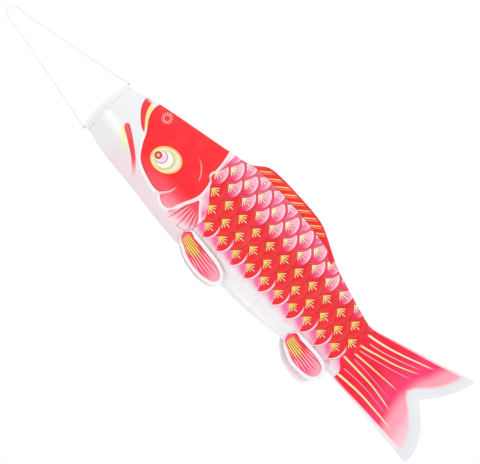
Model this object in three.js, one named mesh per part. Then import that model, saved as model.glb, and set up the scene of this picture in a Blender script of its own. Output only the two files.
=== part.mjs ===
// Carp streamer: a cloth fish that fills with wind. Two printed side panels are sewn together along
// the back and the belly, a hoop in a folded hem holds the mouth open, a string bridle tied to the
// hoop hangs it up, and four cloth fins hang from its flanks. The cloth tube is cut across into five
// sections that turn on each other, as the real cloth bends when it waves.
//
// Millimetres. The origin is the loop of the bridle, +X runs to the tail, +Z is the back of the
// fish and -Y is its left side. Places along the fish are counted from the rim of its mouth.
import * as THREE from "three";

// ---- Driving dimensions -------------------------------------------------------------------------
const BRIDLE_REACH = 296; // from the loop to the rim of the mouth
const CLOTH = 1.0; // wall of a side panel
const GAP = 0.3; // between pieces that lie on each other

const GIRTH_STEPS = 16; // facets of a panel, from the back seam to the belly seam
const RING_STEPS = 2 * GIRTH_STEPS; // round the hem and the hoop, so that all their facets line up

const HOOP_RADIUS = 62.4; // middle of the hoop's rod
const FACET_SAG = HOOP_RADIUS * (1 - Math.cos(Math.PI / RING_STEPS)); // of a facet inside that circle
const HOOP_ROD = 2.5; // diameter of that rod
const HOOP_JOIN = 1.2; // between the ends of the rod, inside the ferrule
const FERRULE_WALL = 0.45;
const FERRULE_BORE = HOOP_ROD + 2 * FACET_SAG; // diameter
const FERRULE_OUTSIDE = FERRULE_BORE + 2 * FERRULE_WALL; // diameter
const FERRULE_LENGTH = 20;
const FERRULE_ANGLE = 130; // degrees round the hoop from the back of the fish

const HEM_CLOTH = 0.8;
const HEM_SLACK = 0.2; // between the ferrule and the tunnel that holds the hoop
const HEM_POCKET = FERRULE_OUTSIDE + 2 * (FACET_SAG + HEM_SLACK); // diameter of that tunnel
const HEM_FOLD = HEM_POCKET / 2 + HEM_CLOTH; // outer radius of the fold round the hoop
const HEM_DEPTH = 16; // from the rim to the end of the hem
const HEM_TUCK = 2 * HEM_FOLD + 1.6; // from the rim to where its two layers close on the panels
const HOOP_PLACE = HEM_FOLD; // of the hoop's middle, behind the rim

const STRING = 1.5; // diameter of the bridle
const KNOT_RADIUS = 2.6;
const SEAM_RIDGE = 1.2; // diameter of the stitched ridge along the back and the belly
const TACK = { thick: 1.2, wide: 2.5, high: 8 }; // the stitches that hold a fin
const FIN_CLOTH = 1.2;

// How the outline runs, as [place along the fish, height] knots behind the hem.
const BACK_LINE = [
  [57, 75.5], [86, 84.5], [170, 101], [260, 118], [316, 131.5], [346, 153.5], [381, 158.5],
  [440, 157], [489, 153.5], [524, 146], [573, 121.5], [612, 103], [650, 91], [700, 76], [750, 65],
  [790, 75], [997, 142.5],
];
const BELLY_LINE = [
  [66, -74.5], [170, -85.5], [259, -97], [317, -101], [455, -98.5], [528, -98], [627, -88],
  [683, -78.5], [740, -69], [790, -69.5], [1003, -89],
];
const SIDE_BULGE = [
  [60, 65], [150, 63], [300, 57], [450, 52], [600, 42], [700, 30], [765, 17], [850, 9], [1003, 4.5],
];

// The forked end of the tail, as [height, place along the fish] knots of its two lobes.
const FORK_HEIGHT = 26;
const UPPER_LOBE = [[FORK_HEIGHT, 931], [51, 950], [74, 967], [110, 985], [145, 997]];
const LOWER_LOBE = [[-91, 1003], [-76, 1004], [-53, 1000], [-30, 988], [-8, 971], [FORK_HEIGHT, 931]];

// Where the cloth bends, and how far to each side, in degrees.
const BENDS = [
  { at: 275, swing: 20 },
  { at: 460, swing: 20 },
  { at: 590, swing: 25 },
  { at: 765, swing: 35 },
];
const BEND_GAP = 0.8; // between two sections at the seams
const BEND_SPARE = 1; // degrees by which each side of the gap is wider than its swing

const FINS = [
  { name: "pectoral", at: 319, tilt: 26, droop: 10, length: 134, upper: 23, lower: 37, drop: 9 },
  { name: "pelvic", at: 632, tilt: 20, droop: 8, length: 116, upper: 27.5, lower: 35.5, drop: 13 },
];

// One leg of the bridle, as [x, z] points from the loop to the knot. The other leg mirrors it.
const BRIDLE_LEG = [
  [0, 0], [0.9, 5.5], [3.6, 10.2], [9, 13.6], [18, 15.6], [34, 17.8], [58, 21.6], [90, 27.2],
  [126, 34], [164, 41.2], [202, 48.6], [240, 56], [270, 62], [296.5, 67.7],
];

// ---- Fineness of the meshes ---------------------------------------------------------------------
const LENGTH_STEPS = 7; // along one section
const FIN_GIRTH_STEP = 12; // the facet edge of a panel that a fin is tacked to

const LEFT = -1;
const RIGHT = 1;
const SIDES = { left: LEFT, right: RIGHT };
const radians = THREE.MathUtils.degToRad;

// ---- Materials ----------------------------------------------------------------------------------
const cloth = (color) => new THREE.MeshStandardMaterial({ color, roughness: 0.8, metalness: 0 });
const PRINTED_CLOTH = cloth(0xd8121e);
const HEM_WHITE = cloth(0xeeeef2);
const FIN_CLOTH_RED = cloth(0xcf1030);
const THREAD = cloth(0xf4f4f4);
const BRIDLE_STRING = cloth(0xf7f7f7);
const HOOP_PLASTIC = new THREE.MeshStandardMaterial({ color: 0xe8e8e8, roughness: 0.45 });
const FERRULE_PLASTIC = new THREE.MeshStandardMaterial({ color: 0xc8c8cc, roughness: 0.5 });

// ---- The fish's outline -------------------------------------------------------------------------
// A smooth curve through [place, value] knots, straight beyond its ends.
function curveThrough(knots) {
  const last = knots.length - 1;
  const slopes = knots.map((knot, i) => {
    const before = knots[Math.max(i - 1, 0)];
    const after = knots[Math.min(i + 1, last)];
    return (after[1] - before[1]) / (after[0] - before[0]);
  });
  return (place) => {
    if (place <= knots[0][0]) return knots[0][1] + slopes[0] * (place - knots[0][0]);
    if (place >= knots[last][0]) return knots[last][1] + slopes[last] * (place - knots[last][0]);
    const i = knots.findIndex((knot) => knot[0] > place) - 1;
    const span = knots[i + 1][0] - knots[i][0];
    const t = (place - knots[i][0]) / span;
    const s = 1 - t;
    const rise = t * t * (3 - 2 * t);
    return (
      knots[i][1] * (1 - rise) + knots[i + 1][1] * rise +
      span * (slopes[i] * t * s * s - slopes[i + 1] * t * t * s)
    );
  };
}

// Within the hem the cloth tube is round and lies between the hem's two layers.
const TUBE_RADIUS = HOOP_RADIUS + CLOTH / 2;
const withHem = (knots, radius) => {
  const curve = curveThrough([[HEM_DEPTH, radius], ...knots]);
  return (place) => (place <= HEM_DEPTH ? radius : curve(place));
};
const backLine = withHem(BACK_LINE, TUBE_RADIUS);
const bellyLine = withHem(BELLY_LINE, -TUBE_RADIUS);
const sideBulge = withHem(SIDE_BULGE, TUBE_RADIUS);
const upperLobe = curveThrough(UPPER_LOBE);
const lowerLobe = curveThrough(LOWER_LOBE);
const trailingEdge = (height) => (height > FORK_HEIGHT ? upperLobe(height) : lowerLobe(height));

// The section is a circle at the hem and turns into a lens that is pointed at both seams.
const ROUND = 0.5;
const LENS = 0.6;
const LENS_BEGINS_AT = 110;
function sharpness(place) {
  return THREE.MathUtils.lerp(ROUND, LENS, THREE.MathUtils.smoothstep(place, HEM_DEPTH, LENS_BEGINS_AT));
}

// A point of the flank: girth is 1 at the back seam and -1 at the belly seam, inset goes inwards.
function flank(place, girth, inset = 0) {
  const middle = (backLine(place) + bellyLine(place)) / 2;
  const halfHeight = (backLine(place) - bellyLine(place)) / 2 - inset;
  const bulge = (sideBulge(place) - inset) * Math.pow(Math.max(1 - girth * girth, 0), sharpness(place));
  return { out: GAP / 2 + bulge, height: middle + halfHeight * girth };
}

// Girths from the back seam to the belly seam, evenly round each half on either side of a middle one.
function girthsAround(middle) {
  return Array.from({ length: GIRTH_STEPS + 1 }, (_, i) => {
    const turn = Math.cos((Math.PI * i) / GIRTH_STEPS);
    return middle + turn * (turn > 0 ? 1 - middle : 1 + middle);
  });
}

function girthOfFork() {
  const place = upperLobe(FORK_HEIGHT);
  const middle = (backLine(place) + bellyLine(place)) / 2;
  return (FORK_HEIGHT - middle) / (backLine(place) - middle);
}

// ---- Sections of the cloth tube -----------------------------------------------------------------
const bendEdge = (bend, toTail) => (out) =>
  bend.at + toTail * (BEND_GAP / 2 + out * Math.tan(radians(bend.swing / 2 + BEND_SPARE)));
const tubeFront = () => HEM_TUCK + GAP;
const tubeEnd = (out, height) => trailingEdge(height);

const SECTION_NAMES = ["head", "fore", "mid", "rear", "tail"];
const SECTIONS = SECTION_NAMES.map((name, i) => ({
  name,
  front: i === 0 ? tubeFront : bendEdge(BENDS[i - 1], 1),
  end: i === BENDS.length ? tubeEnd : bendEdge(BENDS[i], -1),
  girths: girthsAround(name === "tail" ? girthOfFork() : 0),
}));

// The place where a girth line meets a section's edge, drawn closer at each pass.
const MEET_PASSES = 12;
function meet(edge, girth, inset) {
  let place = edge(0, 0);
  for (let i = 0; i < MEET_PASSES; i++) {
    const point = flank(place, girth, inset);
    place = edge(point.out, point.height);
  }
  return place;
}

// The places of a girth line's points. The head keeps straight as far as the end of the hem.
function placesBetween(front, end, name) {
  const straight = name === "head" ? [front] : [];
  const start = name === "head" ? HEM_DEPTH + GAP : front;
  const even = Array.from({ length: LENGTH_STEPS + 1 }, (_, i) => i / LENGTH_STEPS);
  return [...straight, ...even.map((share) => THREE.MathUtils.lerp(start, end, share))];
}

// ---- Mesh helpers -------------------------------------------------------------------------------
// Turns a closed geometry's faces outwards where its winding makes them point in.
function facingOut(geometry) {
  const flat = geometry.index ? geometry.toNonIndexed() : geometry;
  const p = flat.getAttribute("position");
  const [a, b, c] = [new THREE.Vector3(), new THREE.Vector3(), new THREE.Vector3()];
  let volume = 0;
  for (let i = 0; i < p.count; i += 3) {
    a.fromBufferAttribute(p, i);
    b.fromBufferAttribute(p, i + 1);
    c.fromBufferAttribute(p, i + 2);
    volume += a.dot(b.clone().cross(c));
  }
  if (volume < 0) {
    for (let i = 0; i < p.count; i += 3) {
      b.fromBufferAttribute(p, i + 1);
      c.fromBufferAttribute(p, i + 2);
      p.setXYZ(i + 1, c.x, c.y, c.z);
      p.setXYZ(i + 2, b.x, b.y, b.z);
    }
  }
  flat.computeVertexNormals();
  return flat;
}

// A thin wall between two grids of points with the same rows and columns.
function wallBetween(outer, inner) {
  const rows = outer.length;
  const columns = outer[0].length;
  const corners = [];
  const quad = (a, b, c, d) => corners.push(a, b, c, a, c, d);
  for (let r = 0; r < rows - 1; r++) {
    for (let c = 0; c < columns - 1; c++) {
      quad(outer[r][c], outer[r][c + 1], outer[r + 1][c + 1], outer[r + 1][c]);
      quad(inner[r][c], inner[r + 1][c], inner[r + 1][c + 1], inner[r][c + 1]);
    }
    quad(outer[r][0], outer[r + 1][0], inner[r + 1][0], inner[r][0]);
    const e = columns - 1;
    quad(outer[r][e], inner[r][e], inner[r + 1][e], outer[r + 1][e]);
  }
  for (let c = 0; c < columns - 1; c++) {
    quad(outer[0][c], inner[0][c], inner[0][c + 1], outer[0][c + 1]);
    const e = rows - 1;
    quad(outer[e][c], outer[e][c + 1], inner[e][c + 1], inner[e][c]);
  }
  return facingOut(new THREE.BufferGeometry().setFromPoints(corners));
}

// A closed tube through rings of points.
function tubeThrough(rings) {
  const corners = [];
  const around = rings[0].length;
  for (let r = 0; r < rings.length - 1; r++) {
    for (let i = 0; i < around; i++) {
      const j = (i + 1) % around;
      corners.push(rings[r][i], rings[r][j], rings[r + 1][j]);
      corners.push(rings[r][i], rings[r + 1][j], rings[r + 1][i]);
    }
  }
  const last = rings[rings.length - 1];
  for (let i = 1; i < around - 1; i++) {
    corners.push(rings[0][0], rings[0][i + 1], rings[0][i]);
    corners.push(last[0], last[i], last[i + 1]);
  }
  return facingOut(new THREE.BufferGeometry().setFromPoints(corners));
}

function roundSection(diameter, sides) {
  return new THREE.Shape(
    Array.from({ length: sides }, (_, i) => {
      const angle = (2 * Math.PI * i) / sides;
      return new THREE.Vector2(Math.cos(angle), Math.sin(angle)).multiplyScalar(diameter / 2);
    }),
  );
}

function along(path, section, steps) {
  return facingOut(new THREE.ExtrudeGeometry(section, { steps, extrudePath: path, bevelEnabled: false }));
}

// ---- Cloth tube ---------------------------------------------------------------------------------
function panelGeometry(section, side) {
  const skin = (inset) =>
    section.girths.map((girth) => {
      const front = meet(section.front, girth, inset);
      const end = meet(section.end, girth, inset);
      return placesBetween(front, end, section.name).map((place) => {
        const point = flank(place, girth, inset);
        return new THREE.Vector3(BRIDLE_REACH + place, side * point.out, point.height);
      });
    });
  return wallBetween(skin(0), skin(CLOTH));
}

// The stitched ridge that stands along a seam, on the outside of the cloth. Its rings stand at the
// same places as the columns of the panels, so that the two keep their gap.
const SEAM_START = HEM_DEPTH + GAP; // clear of the end of the hem
const SEAM_TIP = 6; // the tail's ridges stop this far short of its tips
const SEAM_SIDES = 6;
function seamGeometry(section, line, up) {
  const front = section.name === "head" ? SEAM_START : meet(section.front, up, 0);
  const end = meet(section.end, up, 0) - (section.name === "tail" ? SEAM_TIP : 0);
  const rings = Array.from({ length: LENGTH_STEPS + 1 }, (_, i) => {
    const place = THREE.MathUtils.lerp(front, end, i / LENGTH_STEPS);
    const height = line(place) + up * (GAP + SEAM_RIDGE / 2);
    return roundSection(SEAM_RIDGE, SEAM_SIDES)
      .getPoints()
      .slice(0, SEAM_SIDES)
      .map((point) => new THREE.Vector3(BRIDLE_REACH + place, point.x, height + point.y));
  });
  return tubeThrough(rings);
}

// ---- Mouth --------------------------------------------------------------------------------------
// The hem is one band of cloth folded round the hoop, so its section is a U that is open behind.
const FOLD_STEPS = 6;
const FOLD_OVERLAP = 30; // degrees by which the fold wraps past a half turn at each end
function hemGeometry() {
  const legIn = CLOTH / 2 + GAP;
  const uncurled = (radius, leg) => {
    const points = [new THREE.Vector2(HOOP_RADIUS + leg, HEM_DEPTH)];
    points.push(new THREE.Vector2(HOOP_RADIUS + leg, HEM_TUCK));
    for (let i = 0; i <= FOLD_STEPS; i++) {
      const angle = radians(-FOLD_OVERLAP + ((180 + 2 * FOLD_OVERLAP) * i) / FOLD_STEPS);
      const r = HOOP_RADIUS + radius * Math.cos(angle);
      points.push(new THREE.Vector2(r, HOOP_PLACE - radius * Math.sin(angle)));
    }
    points.push(new THREE.Vector2(HOOP_RADIUS - leg, HEM_TUCK));
    points.push(new THREE.Vector2(HOOP_RADIUS - leg, HEM_DEPTH));
    return points;
  };
  const outside = uncurled(HEM_FOLD, legIn + HEM_CLOTH);
  const inside = uncurled(HEM_POCKET / 2, legIn).reverse();
  const ring = new THREE.LatheGeometry([...outside, ...inside, outside[0].clone()], RING_STEPS);
  return facingOut(aboutLength(ring));
}

// Lays a shape turned about Y along the fish, with its first facet edge at the back.
function aboutLength(geometry) {
  return geometry.rotateZ(-Math.PI / 2).rotateX(Math.PI / 2);
}

class HoopArc extends THREE.Curve {
  constructor(fromAngle, toAngle) {
    super();
    this.fromAngle = fromAngle;
    this.toAngle = toAngle;
  }
  getPoint(t, target = new THREE.Vector3()) {
    const angle = radians(THREE.MathUtils.lerp(this.fromAngle, this.toAngle, t));
    return target.set(0, HOOP_RADIUS * Math.sin(angle), HOOP_RADIUS * Math.cos(angle));
  }
}
const degreesOfHoop = (length) => THREE.MathUtils.radToDeg(length / HOOP_RADIUS);
const ROD_SIDES = 8;

function hoopGeometry() {
  const half = degreesOfHoop(HOOP_JOIN) / 2;
  const arc = new HoopArc(FERRULE_ANGLE + half, FERRULE_ANGLE + 360 - half);
  return along(arc, roundSection(HOOP_ROD, ROD_SIDES), RING_STEPS);
}

const FERRULE_STEPS = 3;
function ferruleGeometry() {
  const half = degreesOfHoop(FERRULE_LENGTH) / 2;
  const section = roundSection(FERRULE_OUTSIDE, ROD_SIDES);
  section.holes.push(roundSection(FERRULE_BORE, ROD_SIDES));
  return along(new HoopArc(FERRULE_ANGLE - half, FERRULE_ANGLE + half), section, FERRULE_STEPS);
}

// ---- Bridle -------------------------------------------------------------------------------------
// The knots sit on the hem above and below the hoop, on the line that the mouth swings about.
const KNOT_PLACE = new THREE.Vector3(
  BRIDLE_REACH + HOOP_PLACE,
  0,
  HOOP_RADIUS + HEM_FOLD + GAP + KNOT_RADIUS,
);

const KNOT_MERIDIANS = 10;
const KNOT_RINGS = 8;
const knotGeometry = () => new THREE.SphereGeometry(KNOT_RADIUS, KNOT_MERIDIANS, KNOT_RINGS);

const STRING_STEPS = 60;
const STRING_SIDES = 8;
function bridleGeometry() {
  const upper = BRIDLE_LEG.map(([x, z]) => new THREE.Vector3(x, 0, z));
  const lower = BRIDLE_LEG.slice(1).map(([x, z]) => new THREE.Vector3(x, 0, -z));
  const route = [...upper.reverse(), ...lower];
  return along(new THREE.CatmullRomCurve3(route), roundSection(STRING, STRING_SIDES), STRING_STEPS);
}

// ---- Fins ---------------------------------------------------------------------------------------
// A leaf that starts at the tack, reaches back along u and is fuller below than above.
const FIN_CURVE_STEPS = 2;
const FIN_FRONT = -2; // the leaf reaches this far in front of its tack
function finShape({ length, upper, lower, drop }) {
  const leaf = [
    [0.05, 0.68 * upper], [0.2, 0.84 * upper], [0.38, 0.93 * upper], [0.65, upper],
    [0.87, 0.83 * upper], [0.98, 0.3 * upper], [0.995, -0.22 * lower], [0.92, -0.62 * lower],
    [0.74, -0.89 * lower], [0.46, -lower], [0.22, -0.82 * lower], [0.04, -0.47 * lower],
  ];
  const front = new THREE.Vector2(FIN_FRONT, -drop);
  const rest = leaf.map(([share, height]) => new THREE.Vector2(share * length, height - drop));
  return new THREE.Shape().moveTo(front.x, front.y).splineThru([...rest, front.clone()]);
}

function finGeometry(fin, side) {
  const plate = new THREE.ExtrudeGeometry(finShape(fin), {
    depth: FIN_CLOTH,
    bevelEnabled: false,
    curveSegments: FIN_CURVE_STEPS,
  });
  const inner = TACK.thick + 2 * GAP;
  plate.rotateX(Math.PI / 2).translate(0, FIN_CLOTH / 2 + side * (inner + FIN_CLOTH / 2), 0);
  return facingOut(plate.rotateY(radians(fin.droop)));
}

function tackGeometry(side) {
  const block = new THREE.BoxGeometry(TACK.wide, TACK.thick, TACK.high);
  return block.translate(0, side * (GAP + TACK.thick / 2), 0);
}

// ---- Assembly -----------------------------------------------------------------------------------
const streamer = new THREE.Group();

function addMesh(parent, name, geometry, material) {
  const mesh = new THREE.Mesh(geometry, material);
  mesh.name = name;
  parent.add(mesh);
  return mesh;
}

// Bridle: string and its two knots.
addMesh(streamer, "bridle_cord", bridleGeometry(), BRIDLE_STRING);
for (const [name, up] of [["knot_upper", 1], ["knot_lower", -1]]) {
  const knot = addMesh(streamer, name, knotGeometry(), BRIDLE_STRING);
  knot.position.set(KNOT_PLACE.x, KNOT_PLACE.y, up * KNOT_PLACE.z);
}

// Mouth: hem, hoop and ferrule share one group that stands at the rim.
const mouth = new THREE.Group();
mouth.position.x = BRIDLE_REACH;
streamer.add(mouth);
addMesh(mouth, "mouth_hem", hemGeometry(), HEM_WHITE);
addMesh(mouth, "mouth_hoop", hoopGeometry(), HOOP_PLASTIC).position.x = HOOP_PLACE;
addMesh(mouth, "hoop_ferrule", ferruleGeometry(), FERRULE_PLASTIC).position.x = HOOP_PLACE;

// Cloth tube: two side panels and two seams in each section.
for (const section of SECTIONS) {
  for (const [sideName, side] of Object.entries(SIDES)) {
    addMesh(streamer, `${section.name}_panel_${sideName}`, panelGeometry(section, side), PRINTED_CLOTH);
  }
  addMesh(streamer, `${section.name}_back_seam`, seamGeometry(section, backLine, 1), THREAD);
  addMesh(streamer, `${section.name}_belly_seam`, seamGeometry(section, bellyLine, -1), THREAD);
}

// Fins: each hangs from a tack on its flank, in a group that leans with the flank.
for (const fin of FINS) {
  const girth = Math.cos((Math.PI * FIN_GIRTH_STEP) / GIRTH_STEPS);
  const root = flank(fin.at, girth);
  for (const [sideName, side] of Object.entries(SIDES)) {
    const seat = new THREE.Group();
    seat.position.set(BRIDLE_REACH + fin.at, side * root.out, root.height);
    seat.rotation.x = -side * radians(fin.tilt);
    streamer.add(seat);
    addMesh(seat, `${fin.name}_tack_${sideName}`, tackGeometry(side), THREAD);
    addMesh(seat, `${fin.name}_fin_${sideName}`, finGeometry(fin, side), FIN_CLOTH_RED);
  }
}

export default streamer;
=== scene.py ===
"""Carp streamer: its string, printed cloth, seams, hem and fins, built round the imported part."""

import math

import bpy
import numpy as np
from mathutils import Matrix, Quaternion, Vector


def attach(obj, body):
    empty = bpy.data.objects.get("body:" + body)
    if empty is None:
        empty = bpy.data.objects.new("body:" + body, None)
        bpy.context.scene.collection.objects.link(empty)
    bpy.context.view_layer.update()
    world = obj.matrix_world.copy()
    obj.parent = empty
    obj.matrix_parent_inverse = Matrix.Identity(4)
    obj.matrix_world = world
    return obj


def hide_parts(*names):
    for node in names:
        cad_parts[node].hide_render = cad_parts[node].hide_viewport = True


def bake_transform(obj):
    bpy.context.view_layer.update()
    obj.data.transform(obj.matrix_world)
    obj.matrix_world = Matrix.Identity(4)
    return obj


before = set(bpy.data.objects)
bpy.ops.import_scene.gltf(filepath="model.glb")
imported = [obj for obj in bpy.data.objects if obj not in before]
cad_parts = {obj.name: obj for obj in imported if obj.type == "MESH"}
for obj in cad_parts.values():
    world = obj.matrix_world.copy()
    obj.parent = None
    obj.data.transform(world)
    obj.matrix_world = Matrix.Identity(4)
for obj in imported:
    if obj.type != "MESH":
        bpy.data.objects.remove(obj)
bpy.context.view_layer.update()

# The row frame is in metres. Places along the fish, heights and widths below are in millimetres, as
# in the part's own source; places count from the rim of the mouth.
MM = 0.001
BRIDLE_REACH = 296
LEFT, RIGHT = -1, 1
SIDES = {"left": LEFT, "right": RIGHT}

# ---- Camera, light and backdrop ------------------------------------------------------------------
scene = bpy.context.scene
scene.view_settings.view_transform = "Standard"

LOOK_AT = Vector((0.6975, 0, 0.0112))
CAMERA_DISTANCE = 2.89
CAMERA_RISE = math.radians(-5)  # a little from below
CAMERA_ROLL = math.radians(45)

camera = bpy.data.objects.new("camera", bpy.data.cameras.new("camera"))
scene.collection.objects.link(camera)
scene.camera = camera
camera.data.lens = 100
camera.data.sensor_width = 36
camera.data.clip_end = 50
back = Vector((0, -math.cos(CAMERA_RISE), math.sin(CAMERA_RISE)))
camera.location = LOOK_AT + back * CAMERA_DISTANCE
camera.rotation_mode = "QUATERNION"
camera.rotation_quaternion = (-back).to_track_quat("-Z", "Y") @ Quaternion((0, 0, 1), CAMERA_ROLL)

world = bpy.data.worlds.new("studio")
scene.world = world
world.use_nodes = True
world.node_tree.nodes["Background"].inputs["Color"].default_value = (1, 1, 1, 1)
world.node_tree.nodes["Background"].inputs["Strength"].default_value = 1.0


def add_light(name, place, aim, size, power):
    light = bpy.data.objects.new(name, bpy.data.lights.new(name, "AREA"))
    light.data.size, light.data.energy = size, power
    light.location = place
    light.rotation_euler = (Vector(aim) - Vector(place)).to_track_quat("-Z", "Y").to_euler()
    scene.collection.objects.link(light)


add_light("key", (-0.6, -1.9, 1.9), (0.7, 0, 0), 1.2, 9)

# ---- Materials -----------------------------------------------------------------------------------


def rgb(code):
    """A screen colour such as #FF8040 as the linear colour that a node takes."""
    parts = [int(code[i : i + 2], 16) / 255 for i in (1, 3, 5)]
    return [c / 12.92 if c <= 0.04045 else ((c + 0.055) / 1.055) ** 2.4 for c in parts] + [1]


class Num:
    """A number in a material's nodes that can be reckoned with."""

    def __init__(self, paint, socket):
        self.paint, self.socket = paint, socket

    def do(self, operation, *others):
        inputs = list(enumerate((self, *others)))
        return Num(self.paint, self.paint.node("Math", inputs, operation=operation))

    def __add__(self, other):
        return self.do("ADD", other)

    def __sub__(self, other):
        return self.do("SUBTRACT", other)

    def __mul__(self, other):
        return self.do("MULTIPLY", other)

    def __truediv__(self, other):
        return self.do("DIVIDE", other)

    def __rsub__(self, other):
        return self.do("MULTIPLY_ADD", -1, other)

    __radd__ = __add__
    __rmul__ = __mul__

    def size(self):
        return self.do("ABSOLUTE")

    def root(self):
        return self.do("SQRT")

    def least(self, other):
        return self.do("MINIMUM", other)

    def most(self, other):
        return self.do("MAXIMUM", other)

    def above(self, other):
        return self.do("GREATER_THAN", other)

    def below(self, other):
        return self.do("LESS_THAN", other)


class Paint:
    """Builds one material, layer over layer."""

    def __init__(self, name, roughness=0.8):
        self.material = bpy.data.materials.new(name)
        self.material.use_nodes = True
        self.tree = self.material.node_tree
        self.shader = self.tree.nodes["Principled BSDF"]
        self.shader.inputs["Roughness"].default_value = roughness
        self.colour = None

    def node(self, kind, inputs=(), output=0, **settings):
        made = self.tree.nodes.new("ShaderNode" + kind)
        for key, value in settings.items():
            setattr(made, key, value)
        for name, value in inputs:
            self.feed(made.inputs[name], value)
        return made.outputs[output]

    def feed(self, socket, value):
        value = value.socket if isinstance(value, Num) else value
        if isinstance(value, bpy.types.NodeSocket):
            self.tree.links.new(value, socket)
        else:
            socket.default_value = value

    def uv(self, name):
        """The two numbers of a UV map."""
        uv = self.node("UVMap", uv_map=name)
        apart = self.tree.nodes.new("ShaderNodeSeparateXYZ")
        self.tree.links.new(uv, apart.inputs[0])
        return Num(self, apart.outputs[0]), Num(self, apart.outputs[1])

    def attribute(self, name):
        made = self.tree.nodes.new("ShaderNodeAttribute")
        made.attribute_name = name
        return Num(self, made.outputs["Fac"])

    def spread(self, value, low, high, start=0.0, end=1.0, smooth=False):
        """value from low to high becomes start to end, and stays there beyond."""
        kind = "SMOOTHSTEP" if smooth else "LINEAR"
        inputs = [(0, value), (1, low), (2, high), (3, start), (4, end)]
        return Num(self, self.node("MapRange", inputs, interpolation_type=kind))

    def inside(self, distance, soft=1.6):
        """1 where distance is above 0, with a soft edge of that width."""
        return self.spread(distance, -soft / 2, soft / 2)

    def stripe(self, distance, half, soft=1.6):
        return self.inside(half - distance.size(), soft)

    def curve(self, value, knots):
        """A smooth curve through [value, result] knots, level beyond them."""
        low, high = knots[0][0], knots[-1][0]
        results = [y for _, y in knots]
        bottom, top = min(results), max(results)
        share = self.spread(value, low, high)
        made = self.tree.nodes.new("ShaderNodeFloatCurve")
        self.tree.links.new(share.socket, made.inputs["Value"])
        line = made.mapping.curves[0]
        places = [((x - low) / (high - low), (y - bottom) / (top - bottom)) for x, y in knots]
        line.points[0].location, line.points[1].location = places[0], places[-1]
        for x, y in places[1:-1]:
            line.points.new(x, y)
        made.mapping.update()
        return Num(self, made.outputs[0]) * (top - bottom) + bottom

    def noise(self, p, q, scale, detail=2.0):
        """Soft noise from -1 to 1 over a surface's own two coordinates."""
        place = self.node("CombineXYZ", [(0, p), (1, q)])
        inputs = [("Vector", place), ("Scale", scale), ("Detail", detail)]
        return Num(self, self.node("TexNoise", inputs)) * 2 - 1

    def mix(self, below, above, mask):
        inputs = [(0, mask), (6, below), (7, above)]
        return self.node("Mix", inputs, output=2, data_type="RGBA", clamp_factor=True)

    def lay(self, colour, mask):
        """Lays a colour over what is there."""
        colour = rgb(colour) if isinstance(colour, str) else colour
        self.colour = self.mix(self.colour, colour, mask)

    def base(self, colour):
        self.colour = rgb(colour)

    def shade(self, height, distance, strength=1.0):
        inputs = [("Height", height), ("Distance", distance), ("Strength", strength)]
        self.feed(self.shader.inputs["Normal"], self.node("Bump", inputs))

    def done(self, roughness=None):
        self.feed(self.shader.inputs["Base Color"], self.colour)
        if roughness is not None:
            self.feed(self.shader.inputs["Roughness"], roughness)
        return self.material


THREAD_PITCH = 0.7  # of the cloth's weave


def weave(paint, p, q, strength=0.35):
    """Threads that pass over and under each other, and the small creases of thin cloth."""
    along = (p * (2 * math.pi / THREAD_PITCH)).do("SINE")
    across = (q * (2 * math.pi / THREAD_PITCH)).do("SINE")
    creases = paint.noise(p, q, 0.045, 3.0)
    paint.shade(along * across * 0.05 + creases * 2.2, MM, strength)
    patch = paint.noise(p, q, 0.02)
    paint.lay("#FFFFFF", patch.most(0) * 0.05)
    paint.lay("#7F6F74", patch.least(0) * -0.05)
    return paint.done(paint.spread(creases, -1, 1, 0.7, 0.9))


# ---- Outline of the fish -------------------------------------------------------------------------


def curve_through(knots):
    """A smooth curve through [place, value] knots, straight beyond its ends."""
    xs, ys = np.array(knots, float).T
    last = len(xs) - 1
    before, after = np.maximum(np.arange(last + 1) - 1, 0), np.minimum(np.arange(last + 1) + 1, last)
    slopes = (ys[after] - ys[before]) / (xs[after] - xs[before])

    def curve(x):
        x = np.asarray(x, float)
        i = np.clip(np.searchsorted(xs, x, side="right") - 1, 0, last - 1)
        span = xs[i + 1] - xs[i]
        t = np.clip((x - xs[i]) / span, 0, 1)
        s, rise = 1 - t, t * t * (3 - 2 * t)
        bend = span * (slopes[i] * t * s * s - slopes[i + 1] * t * t * s)
        beyond = slopes[0] * np.minimum(x - xs[0], 0) + slopes[-1] * np.maximum(x - xs[-1], 0)
        return ys[i] * (1 - rise) + ys[i + 1] * rise + bend + beyond

    return curve


def smoothstep(x, low, high):
    t = np.clip((np.asarray(x, float) - low) / (high - low), 0, 1)
    return t * t * (3 - 2 * t)


HOOP_RADIUS = 62.4
CAD_CLOTH = 1.0
CLOTH = 0.45  # what shows of the cloth's thickness
GAP = 0.3
TUBE_RADIUS = HOOP_RADIUS + CAD_CLOTH / 2
HEM_DEPTH = 16
BACK_LINE = [
    [HEM_DEPTH, TUBE_RADIUS], [57, 75.5], [86, 84.5], [170, 101], [260, 118], [316, 131.5], [346, 153.5],
    [381, 158.5], [440, 157], [489, 153.5], [524, 146], [573, 121.5], [612, 103], [650, 91], [700, 76],
    [750, 65], [790, 75], [997, 142.5],
]
BELLY_LINE = [
    [HEM_DEPTH, -TUBE_RADIUS], [66, -74.5], [170, -85.5], [259, -97], [317, -101], [455, -98.5],
    [528, -98], [627, -88], [683, -78.5], [740, -69], [790, -69.5], [1003, -89],
]
SIDE_BULGE = [
    [HEM_DEPTH, TUBE_RADIUS], [60, 65], [150, 63], [300, 57], [450, 52], [600, 42], [700, 30],
    [765, 17], [850, 9], [1003, 4.5],
]
FORK_HEIGHT = 26
UPPER_LOBE = [[FORK_HEIGHT, 931], [51, 950], [74, 967], [110, 985], [145, 997]]
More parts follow.
